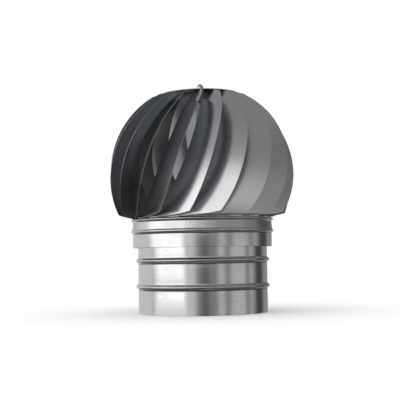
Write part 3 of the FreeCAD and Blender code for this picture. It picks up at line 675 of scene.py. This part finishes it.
@dataclass
class Vane:
    """One curved vane, from its foot in the skirt to its tab under the disc."""

    number: int
    first_turn: float = -43.0
    count: int = 18
    skirt_inner: float = 80.2
    weld_clearance: float = 0.05
    foot_half: float = 6.0
    foot_length: float = 12.0
    start: float = 110.0
    roll_radius: float = 207.0
    sheet: float = 0.6
    fold_radius: float = 2.0
    underside: float = 255.2
    globe_radius: float = 107.8
    globe_centre: float = 160.5
    hollow: float = 34.0
    tab_start: float = 22.0
    tab_width: float = 8.0
    tab_length: float = 6.0
    corner_drop: float = 3.0
    disc_radius: float = 45.5
    lower_rise: float = 5.0
    lower_reach: float = 52.6
    crown: float = 1.2
    columns: int = 26
    roll_rows: int = 52
    fold_rows: int = 5
    foot_face: float = field(init=False)
    roll_middle: float = field(init=False)
    fold_outer: float = field(init=False)
    fold_lean: float = field(init=False)
    fold_place: float = field(init=False)

    def __post_init__(self) -> None:
        """Works out where the foot, the roll and the fold meet."""
        self.foot_face = math.sqrt(self.skirt_inner ** 2 - self.foot_half ** 2) - self.weld_clearance
        self.roll_middle = self.roll_radius - self.foot_face
        self.fold_outer = self.fold_radius + self.sheet
        run = self.roll_radius - self.fold_outer
        self.fold_lean = math.asin((self.underside - self.start - self.fold_outer) / run)
        self.fold_place = self.roll_middle - run * math.cos(self.fold_lean)

    def section(self, lean: float) -> tuple[float, float]:
        """Depth and height of the outer face where it leans back by an angle."""
        if lean <= self.fold_lean:
            return (self.roll_middle - self.roll_radius * math.cos(lean),
                    self.start + self.roll_radius * math.sin(lean))
        return (self.fold_place - self.fold_outer * math.cos(lean),
                self.underside - self.fold_outer + self.fold_outer * math.sin(lean))

    def free_edge(self, lean: float) -> float:
        """How far along the sheet its free edge lies at a lean."""
        depth, height = self.section(lean)
        corner = self.underside - self.corner_drop
        radius = math.sqrt(self.globe_radius ** 2 - (min(height, corner) - self.globe_centre) ** 2)
        if height > corner:
            radius += (self.disc_radius - radius) * (height - corner) / self.corner_drop
        return math.sqrt(radius ** 2 - depth ** 2)

    def inner_edge(self, lean: float) -> float:
        """How far along the sheet its hollowed inner edge lies at a lean."""
        top = self.underside + self.corner_drop
        rise, across = top - self.start, self.tab_start + self.foot_half
        chord = math.hypot(rise, across)
        radius = (chord ** 2 / 4 + self.hollow ** 2) / (2 * self.hollow)
        shift = (radius - self.hollow) / chord
        middle_along = (self.tab_start - self.foot_half) / 2 - rise * shift
        middle_height = (self.start + top) / 2 + across * shift
        return middle_along + math.sqrt(radius ** 2 - (self.section(lean)[1] - middle_height) ** 2)

    def lowest_lean(self, along: float) -> float:
        """Lean of the lower edge, which curves up away from the foot, at a place along it."""
        rise = self.lower_rise * (max(along - self.foot_half, 0.0) / self.lower_reach) ** 2
        return math.asin(rise / self.roll_radius)

    def corner_lean(self) -> float:
        """Lean at which the lower edge meets the free edge."""
        lean = 0.0
        for _ in range(20):
            lean = self.lowest_lean(self.free_edge(lean))
        return lean

    def place(self, share: float, row: int, corner: float) -> Vector:
        """Place of one point of the sheet.

        Args:
            share: From 0 at the inner edge to 1 at the free edge.
            row: Row from the bottom.
            corner: Lean of the lower free corner.

        Returns:
            Its place before the vane is turned, in metres.
        """
        if row <= self.roll_rows:
            inner = self.fold_lean * row / self.roll_rows
            free = corner + (self.fold_lean - corner) * row / self.roll_rows
        else:
            inner = self.fold_lean + (math.pi / 2 - self.fold_lean) * (row - self.roll_rows) / self.fold_rows
            free = inner
        along = self.inner_edge(inner) * (1 - share) + self.free_edge(free) * share
        bottom = self.inner_edge(0.0) * (1 - share) + self.free_edge(corner) * share
        sag = self.lowest_lean(bottom) - corner * share
        lean = inner * (1 - share) + free * share + sag * max(1 - row / self.roll_rows, 0.0) ** 3
        depth, height = self.section(lean)
        bulge = self.crown * math.sin(math.pi * min(row / self.roll_rows, 1.0)) * 4 * share * (1 - share)
        return Vector((along, depth - bulge, height)) * MM

    def build(self, book: FinishBook) -> bpy.types.Object:
        """Builds and dresses the vane."""
        work = bmesh.new()
        rows = self.roll_rows + self.fold_rows
        bmesh.ops.create_grid(work, x_segments=self.columns, y_segments=rows, size=0.5)
        corner = self.corner_lean()
        for vert in work.verts:
            vert.co = self.place(vert.co.x + 0.5, round((vert.co.y + 0.5) * rows), corner)
        top = self.underside * MM - 1e-7
        tab = [edge for edge in work.edges if edge.is_boundary
               and all(vert.co.z > top for vert in edge.verts)
               and sum(vert.co.x for vert in edge.verts) < 2 * (self.tab_start + self.tab_width) * MM]
        foot = [edge for edge in work.edges if edge.is_boundary
                and all(vert.co.z < (self.start + 0.2) * MM and vert.co.x < self.foot_half * 1.1 * MM
                        for vert in edge.verts)]
        for edges, move in ((tab, Vector((0, self.tab_length, 0))), (foot, Vector((0, 0, -self.foot_length)))):
            grown = bmesh.ops.extrude_edge_only(work, edges=edges)["geom"]
            bmesh.ops.translate(work, vec=move * MM,
                                verts=[item for item in grown if isinstance(item, bmesh.types.BMVert)])
        flat = work.loops.layers.uv.new("rolled")
        for face in work.faces:
            for loop in face.loops:
                loop[flat].uv = (loop.vert.co.x, loop.vert.co.z)
        turn = math.radians(self.first_turn + 360.0 * (self.number - 1) / self.count)
        bmesh.ops.rotate(work, cent=(0, 0, 0), matrix=Matrix.Rotation(turn, 3, "Z"), verts=work.verts[:])
        work.normal_update()
        piece = put(f"vane_sheet_{self.number:02d}", work, (book["vane_sheet"], book["cut_edge"]),
                    "rotor", (f"vane_{self.number:02d}",))
        thicken(piece, self.sheet)
        ease(piece, 0.12, angle=50.0)
        return piece


@dataclass
class EasedPart:
    """A pressed or turned part whose CAD shape is right: its edges are eased."""

    node: str
    slot: str
    body: str
    width: float = 0.25
    angle: float = 35.0

    def build(self, book: FinishBook) -> bpy.types.Object:
        """Merges a copy of the CAD mesh, eases its edges and dresses it."""
        work = bmesh.new()
        work.from_mesh(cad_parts[self.node].data)
        bmesh.ops.remove_doubles(work, verts=work.verts[:], dist=0.002 * MM)
        bmesh.ops.dissolve_limit(work, angle_limit=math.radians(0.5), verts=work.verts[:],
                                 edges=work.edges[:], delimit={"NORMAL"})
        for face in work.faces:
            face.material_index = 0
        piece = put(f"{self.node}_eased", work, (book[self.slot],), self.body, (self.node,))
        ease(piece, self.width, self.angle)
        flat = piece.modifiers.new("flat_faces", "WEIGHTED_NORMAL")
        flat.weight = 100
        return piece


@dataclass
class DomeNut:
    """Cap nut on the spindle's stud: turned-down hexagon and a polished dome."""

    base: float = 258.2
    flats: float = 8.0
    hex_height: float = 4.0
    height: float = 10.0
    dome_radius: float = 3.75

    def build(self, book: FinishBook) -> bpy.types.Object:
        """Builds and dresses the nut."""
        work = bmesh.new()
        corner = self.flats / math.sqrt(3)
        ring = bmesh.ops.create_circle(work, cap_ends=True, segments=6, radius=corner * MM,
                                       matrix=Matrix.Translation((0, 0, self.base * MM)))
        bottom = list({face for vert in ring["verts"] for face in vert.link_faces})
        grown = bmesh.ops.extrude_face_region(work, geom=bottom, use_keep_orig=True)["geom"]
        lid = [item for item in grown if isinstance(item, bmesh.types.BMVert)]
        bmesh.ops.translate(work, verts=lid, vec=(0, 0, self.hex_height * MM))
        rims = [edge for edge in work.edges if abs(edge.verts[0].co.z - edge.verts[1].co.z) < 1e-6]
        bmesh.ops.bevel(work, geom=rims, offset=0.35 * MM, offset_type="OFFSET", segments=3,
                        profile=0.5, affect="EDGES", material=-1, clamp_overlap=True)
        bmesh.ops.recalc_face_normals(work, faces=work.faces[:])
        shoulder = self.height - self.dome_radius
        ball = bmesh.ops.create_uvsphere(work, u_segments=48, v_segments=24,
                                         radius=self.dome_radius * MM,
                                         matrix=Matrix.Translation((0, 0, (self.base + shoulder) * MM)))
        lower = [vert for vert in ball["verts"] if vert.co.z < (self.base + shoulder) * MM - 1e-6]
        bmesh.ops.delete(work, geom=lower, context="VERTS")
        open_ring = [edge for edge in work.edges if edge.is_boundary
                     and abs(edge.verts[0].co.z - (self.base + shoulder) * MM) < 1e-6]
        skirt = bmesh.ops.extrude_edge_only(work, edges=open_ring)["geom"]
        bmesh.ops.translate(work, verts=[item for item in skirt if isinstance(item, bmesh.types.BMVert)],
                            vec=(0, 0, -(shoulder - self.hex_height + 0.5) * MM))
        piece = put("dome_nut_cap", work, (book["zinc_fastener"],), "base", ("dome_nut",))
        ease(piece, 0.2)
        return piece


@dataclass
class RivetRing:
    """Domed rivets through the disc and the housing's flange."""

    count: int = 4
    circle: float = 17.5
    shank: float = 1.6
    head: float = 3.0
    head_height: float = 1.2
    low: float = 253.7
    high: float = 256.0
    segments: int = 28

    def profile(self) -> list[tuple[float, float]]:
        """Half the outline of one rivet, from its tail to its head."""
        arc = [(self.head * math.cos(math.radians(angle)),
                self.head_height * math.sin(math.radians(angle))) for angle in range(90, -1, -15)]
        tail = [(radius, self.low - rise) for radius, rise in arc]
        head = [(radius, self.high + rise) for radius, rise in reversed(arc)]
        return tail + [(self.shank, self.low), (self.shank, self.high)] + head

    def build(self, book: FinishBook) -> bpy.types.Object:
        """Spins one rivet, repeats it round the disc and dresses the ring."""
        work = bmesh.new()
        chain = [work.verts.new(Vector((radius, 0, height)) * MM) for radius, height in self.profile()]
        for first, second in zip(chain, chain[1:]):
            work.edges.new((first, second))
        bmesh.ops.spin(work, geom=work.verts[:] + work.edges[:], cent=(0, 0, 0), axis=(0, 0, 1),
                       dvec=(0, 0, 0), angle=FULL_TURN, steps=self.segments, use_merge=True,
                       use_normal_flip=False, use_duplicate=False)
        bmesh.ops.remove_doubles(work, verts=work.verts[:], dist=0.005 * MM)
        bmesh.ops.recalc_face_normals(work, faces=work.faces[:])
        bmesh.ops.translate(work, verts=work.verts[:], vec=(self.circle * MM, 0, 0))
        first_rivet = work.verts[:] + work.edges[:] + work.faces[:]
        for number in range(1, self.count):
            copy = bmesh.ops.duplicate(work, geom=first_rivet)["geom"]
            bmesh.ops.rotate(work, cent=(0, 0, 0),
                             matrix=Matrix.Rotation(FULL_TURN * number / self.count, 3, "Z"),
                             verts=[item for item in copy if isinstance(item, bmesh.types.BMVert)])
        return put("rivet_heads", work, (book["rivet_aluminium"],), "rotor", ("housing_rivets",))


class FixedHalf:
    """What stands on the flue: the neck, its bridges and the spindle."""

    neck = BeadedTube("neck_collar", "neck", "base", "collar_sheet", 75.0, 0.0, 92.0, 0.8,
                      (Bead(31.0, 2.6, 2.9), Bead(61.0, 2.6, 2.9)), rim_curl=2.4, bow=0.22)
    eased = (
        EasedPart("upper_bridge", "strap_steel", "base", 0.4),
        EasedPart("lower_bridge", "strap_steel", "base", 0.4),
        EasedPart("spindle", "spindle_steel", "base", 0.15),
        EasedPart("spindle_nuts", "zinc_fastener", "base", 0.3),
        EasedPart("spindle_washers", "zinc_fastener", "base", 0.2),
        EasedPart("bearing_spacer", "spindle_steel", "base", 0.15),
        EasedPart("top_washer", "zinc_fastener", "base", 0.15),
    )
    dome_nut = DomeNut()
    plain = {"bearing_inner_ring": "bearing_steel"}

    def build(self, book: FinishBook) -> None:
        """Builds every piece of the fixed half."""
        self.neck.build(book)
        for part in self.eased:
            part.build(book)
        self.dome_nut.build(book)
        dress_nodes(self.plain, book)


class TurningHalf:
    """What the wind turns: the skirt, the globe of vanes, the disc and its bearing."""

    skirt = BeadedTube("skirt_ring", "skirt", "rotor", "skirt_sheet", 81.0, 76.0, 109.6, 0.8,
                       (Bead(94.0, 1.7, 2.2, flare=0.7), Bead(107.5, 1.9, 2.1)), foot_rounding=0.7,
                       bow=0.05)
    vane_count = 18
    eased = (
        EasedPart("top_disc", "disc_sheet", "rotor", 0.2),
        EasedPart("bearing_housing", "housing_steel", "rotor", 0.3),
        EasedPart("crossbar", "strap_steel", "rotor", 0.35),
        EasedPart("guide_bush", "bush_nylon", "rotor", 0.3),
    )
    rivets = RivetRing()
    plain = {"bearing_outer_ring": "bearing_steel", "bearing_balls": "bearing_steel",
             "bearing_cage": "cage_brass", "bearing_shields": "bearing_steel"}

    def build(self, book: FinishBook) -> None:
        """Builds every piece of the turning half."""
        self.skirt.build(book)
        for number in range(1, self.vane_count + 1):
            Vane(number).build(book)
        for part in self.eased:
            part.build(book)
        self.rivets.build(book)
        dress_nodes(self.plain, book)


def dress_nodes(slots: dict[str, str], book: FinishBook) -> None:
    """Gives CAD nodes whose shape is kept their materials."""
    for name, slot in slots.items():
        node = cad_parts[name]
        if not node.material_slots:
            node.data.materials.append(book[slot])
        for held in node.material_slots:
            held.material = book[slot]
        log.info("%s: CAD shape kept, dressed in %s", name, slot)


# Studio


@dataclass(frozen=True)
class Card:
    """An upright stretch of the studio's wall, by its turn from the camera, rightwards."""

    start: float
    end: float
    level: float
    tint: Colour = (1.0, 1.0, 1.0)


@dataclass(frozen=True)
class Studio:
    """Plain soft light, a pale floor and the walls that bright metal mirrors."""

    wall: tuple[Card, ...] = (
        Card(-180, -180, 0.42), Card(-162, -106, 0.62), Card(-102, -96, 0.54), Card(-82, -36, 1.35), Card(-28, -17, 0.58),
        Card(-6, -3, 0.18), Card(0, 7, 0.11), Card(13, 22, 0.22), Card(29, 34, 0.50),
        Card(42, 45, 0.23), Card(54, 76, 0.48), Card(83, 85, 0.22), Card(92, 95, 0.40),
        Card(109, 124, 0.06), Card(136, 154, 0.28), Card(180, 180, 0.42),
    )
    cove: tuple[Card, ...] = (
        Card(-180, -180, 0.30), Card(-160, -140, 0.50), Card(-112, -104, 0.70), Card(-86, -38, 1.15), Card(-20, -16, 0.74),
        Card(-6, 2, 0.52), Card(12, 16, 0.37), Card(28, 60, 0.27), Card(80, 90, 0.19),
        Card(110, 130, 0.085), Card(150, 160, 0.13),
        Card(180, 180, 0.30),
    )
    ceiling: tuple[Card, ...] = (
        Card(-180, -180, 0.22), Card(-155, -112, 0.29, (0.95, 0.98, 1.05)), Card(-95, -80, 0.37), Card(-50, -40, 0.32),
        Card(-10, 10, 0.25), Card(30, 40, 0.195), Card(74, 120, 0.168), Card(150, 160, 0.15),
        Card(180, 180, 0.22),
    )
    overhead: Colour = (0.247, 0.247, 0.250)
    light_box: tuple[Colour, Colour] = ((1.30, 1.30, 1.30), (1.03, 1.03, 1.03))
    ground: Colour = (0.090, 0.086, 0.079)
    back_ground: Colour = (0.170, 0.192, 0.238)
    dark_ground: Colour = (0.012, 0.013, 0.015)
    underfoot: Colour = (0.150, 0.141, 0.126)
    shade_card_radius: float = 0.073
    wall_radius: float = 3.0
    floor_half: float = 12.0

    @staticmethod
    def ramp(bench: Bench, value: Socket, cards: tuple[Card, ...]) -> Socket:
        """Light of the cards at a share of the full turn."""
        made = bench.node("ShaderNodeValToRGB")
        stops = [((edge + 180) / 360, [card.level * part for part in card.tint])
                 for card in cards for edge in (card.start, card.end)]
        ladder = made.color_ramp.elements
        while len(ladder) < len(stops):
            ladder.new(0.5)
        for element, (position, colour) in zip(ladder, stops):
            element.position = position
            element.color = (*colour, 1.0)
        bench.feed(made.inputs[0], value)
        return made.outputs[0]

    @staticmethod
    def between(bench: Bench, angle: Socket, first: float, last: float) -> Socket:
        """Share of the way of an angle between two angles in degrees."""
        return bench.smooth(angle, math.radians(first), math.radians(last))

    def wall_material(self) -> bpy.types.Material:
        """Light of the studio's walls by direction."""
        material = bpy.data.materials.new("studio_walls")
        material.use_nodes = True
        material.node_tree.nodes.clear()
        bench = Bench(material.node_tree)
        x, y, z = bench.split(bench.node("ShaderNodeTexCoord").outputs["Object"])
        turn = bench.maths("ARCTAN2", x, bench.maths("MULTIPLY", y, -1.0))
        share = bench.maths("MULTIPLY_ADD", turn, 1 / FULL_TURN, 0.5)
        flat = bench.maths("SQRT", bench.maths("MULTIPLY_ADD", x, x, bench.maths("MULTIPLY", y, y)))
        rise = bench.maths("ARCTAN2", z, flat)
        high = bench.blend(self.between(bench, rise, 16, 40), self.ramp(bench, share, self.cove),
                           self.ramp(bench, share, self.ceiling))
        high = bench.blend(self.between(bench, rise, 46, 66), high, (*self.overhead, 1.0))
        low = bench.maths("MINIMUM", self.ramp(bench, share, self.wall),
                          bench.smooth(rise, math.radians(-5.5), math.radians(0.5), 0.72, 1.35))
        rest = bench.blend(self.between(bench, rise, 3, 6.5), low, high)
        left = bench.maths("MULTIPLY_ADD", rise, -1.5, turn)
        box = bench.maths("MULTIPLY", self.between(bench, left, -118, -92),
                          self.between(bench, turn, -27, -36))
        tall = bench.maths("MULTIPLY", self.between(bench, rise, 48, 14),
                           self.between(bench, rise, 2, 6))
        near, far = self.light_box
        white = bench.blend(self.between(bench, turn, -78, -50), (*near, 1.0), (*far, 1.0))
        rest = bench.blend(bench.maths("MULTIPLY", box, tall), rest, white)
        behind = self.between(bench, bench.maths("ABSOLUTE", turn), 130, 150)
        below = bench.blend(behind, (*self.ground, 1.0), (*self.back_ground, 1.0))
        front_left = bench.maths("MULTIPLY", self.between(bench, turn, -65, -57),
                                 self.between(bench, turn, 6, -4))
        dark = bench.maths("MULTIPLY", front_left, self.between(bench, rise, -18, -27))
        below = bench.blend(dark, below, (*self.dark_ground, 1.0))
        below = bench.blend(self.between(bench, rise, -66, -74), below, (*self.underfoot, 1.0))
        light = bench.blend(self.between(bench, rise, -9, -20), rest, below)
        glow = bench.node("ShaderNodeEmission")
        bench.feed(glow.inputs["Color"], light)
        bench.feed(bench.node("ShaderNodeOutputMaterial").inputs["Surface"], glow.outputs[0])
        return material

    def build_walls(self) -> None:
        """Round wall that only mirrored light sees."""
        work = bmesh.new()
        bmesh.ops.create_uvsphere(work, u_segments=64, v_segments=32, radius=self.wall_radius)
        mesh = bpy.data.meshes.new("studio_walls")
        work.to_mesh(mesh)
        work.free()
        mesh.materials.append(self.wall_material())
        self.hang("studio_walls", mesh)

    def build_shade_card(self) -> None:
        """Painted shade: a dark card on the floor inside the neck, seen only in reflections, standing in for the dark
        flue that would be below it.
        """
        work = bmesh.new()
        bmesh.ops.create_circle(work, cap_ends=True, segments=64, radius=self.shade_card_radius,
                                matrix=Matrix.Translation((0, 0, MM)))
        mesh = bpy.data.meshes.new("painted_shade_card")
        work.to_mesh(mesh)
        work.free()
        material = bpy.data.materials.new("painted_shade_card")
        material.use_nodes = True
        material.node_tree.nodes["Principled BSDF"].inputs["Base Color"].default_value = (0.01, 0.01, 0.01, 1)
        mesh.materials.append(material)
        self.hang("painted_shade_card", mesh)

    @staticmethod
    def hang(name: str, mesh: bpy.types.Mesh) -> None:
        """Adds a stage piece that only mirrored light sees."""
        held = bpy.data.objects.new(name, mesh)
        bpy.context.scene.collection.objects.link(held)
        held.visible_camera = False
        held.visible_diffuse = False
        held.visible_shadow = False
        held.visible_transmission = False

    @staticmethod
    def floor_material() -> bpy.types.Material:
        """Matt pale floor that turns into plain white, seen by the camera, further out."""
        material = bpy.data.materials.new("studio_floor")
        material.use_nodes = True
        material.node_tree.nodes.clear()
        bench = Bench(material.node_tree)
        x, y, _ = bench.split(bench.node("ShaderNodeTexCoord").outputs["Object"])
        away = bench.maths("SQRT", bench.maths("MULTIPLY_ADD", x, x, bench.maths("MULTIPLY", y, y)))
        matt = bench.node("ShaderNodeBsdfDiffuse")
        matt.inputs["Color"].default_value = (0.93, 0.93, 0.93, 1.0)
        white = bench.node("ShaderNodeEmission")
        seen = bench.node("ShaderNodeLightPath").outputs["Is Camera Ray"]
        both = bench.node("ShaderNodeMixShader")
        bench.feed(both.inputs[0], bench.maths("MULTIPLY", bench.smooth(away, 0.09, 0.32), seen))
        bench.feed(both.inputs[1], matt.outputs[0])
        bench.feed(both.inputs[2], white.outputs[0])
        bench.feed(bench.node("ShaderNodeOutputMaterial").inputs["Surface"], both.outputs[0])
        return material

    def build_floor(self) -> None:
        """Pale floor, which keeps the cowl's shadow and fades to white away from it."""
        work = bmesh.new()
        bmesh.ops.create_grid(work, x_segments=8, y_segments=8, size=self.floor_half)
        mesh = bpy.data.meshes.new("studio_floor")
        work.to_mesh(mesh)
        work.free()
        mesh.materials.append(self.floor_material())
        floor = bpy.data.objects.new("studio_floor", mesh)
        bpy.context.scene.collection.objects.link(floor)
        floor.visible_glossy = False

    @staticmethod
    def build_lights() -> None:
        """White surroundings and one large soft light from the upper left."""
        world = bpy.data.worlds.new("studio")
        world.use_nodes = True
        shade = world.node_tree.nodes["Background"]
        shade.inputs["Color"].default_value = (1.0, 1.0, 1.0, 1.0)
        shade.inputs["Strength"].default_value = 1.0
        bpy.context.scene.world = world
        lamp = bpy.data.lights.new("soft_light", "AREA")
        lamp.shape = "SQUARE"
        lamp.size = 1.2
        lamp.energy = 6.0
        held = bpy.data.objects.new("soft_light", lamp)
        held.location = (-1.2, -0.9, 1.5)
        held.rotation_mode = "QUATERNION"
        held.rotation_quaternion = (held.location - Vector((0, 0, 0.12))).to_track_quat("Z", "Y")
        held.visible_glossy = False
        bpy.context.scene.collection.objects.link(held)

    def build(self) -> None:
        """Builds the whole studio."""
        self.build_walls()
        self.build_shade_card()
        self.build_floor()
        self.build_lights()
        bpy.context.scene.view_settings.view_transform = "Standard"


@dataclass(frozen=True)
class Viewpoint:
    """The camera of the photograph."""

    distance: float = 1172.0
    eye_height: float = 65.6
    side: float = -2.1
    pitch: float = 3.21
    roll: float = -0.9
    lens: float = 90.0

    def build(self) -> None:
        """Places the camera."""
        camera = bpy.data.cameras.new("viewpoint")
        camera.lens = self.lens
        camera.sensor_width = 36.0
        camera.clip_start, camera.clip_end = 0.01, 100.0
        held = bpy.data.objects.new("viewpoint", camera)
        bpy.context.scene.collection.objects.link(held)
        turn = Matrix.Rotation(math.radians(90 + self.pitch), 4, "X") @ Matrix.Rotation(
            math.radians(self.roll), 4, "Z")
        held.matrix_world = Matrix.Translation(Vector((self.side, -self.distance, self.eye_height)) * MM) @ turn
        bpy.context.scene.camera = held


def main() -> None:
    """Builds both halves, the studio and the camera."""
    logging.basicConfig(level=logging.INFO, format="%(message)s")
    book = FinishBook(Effects())
    FixedHalf().build(book)
    TurningHalf().build(book)
    Studio().build()
    Viewpoint().build()
    bpy.context.view_layer.update()
    log.info("boxes written")


if __name__ == "__main__":
    main()
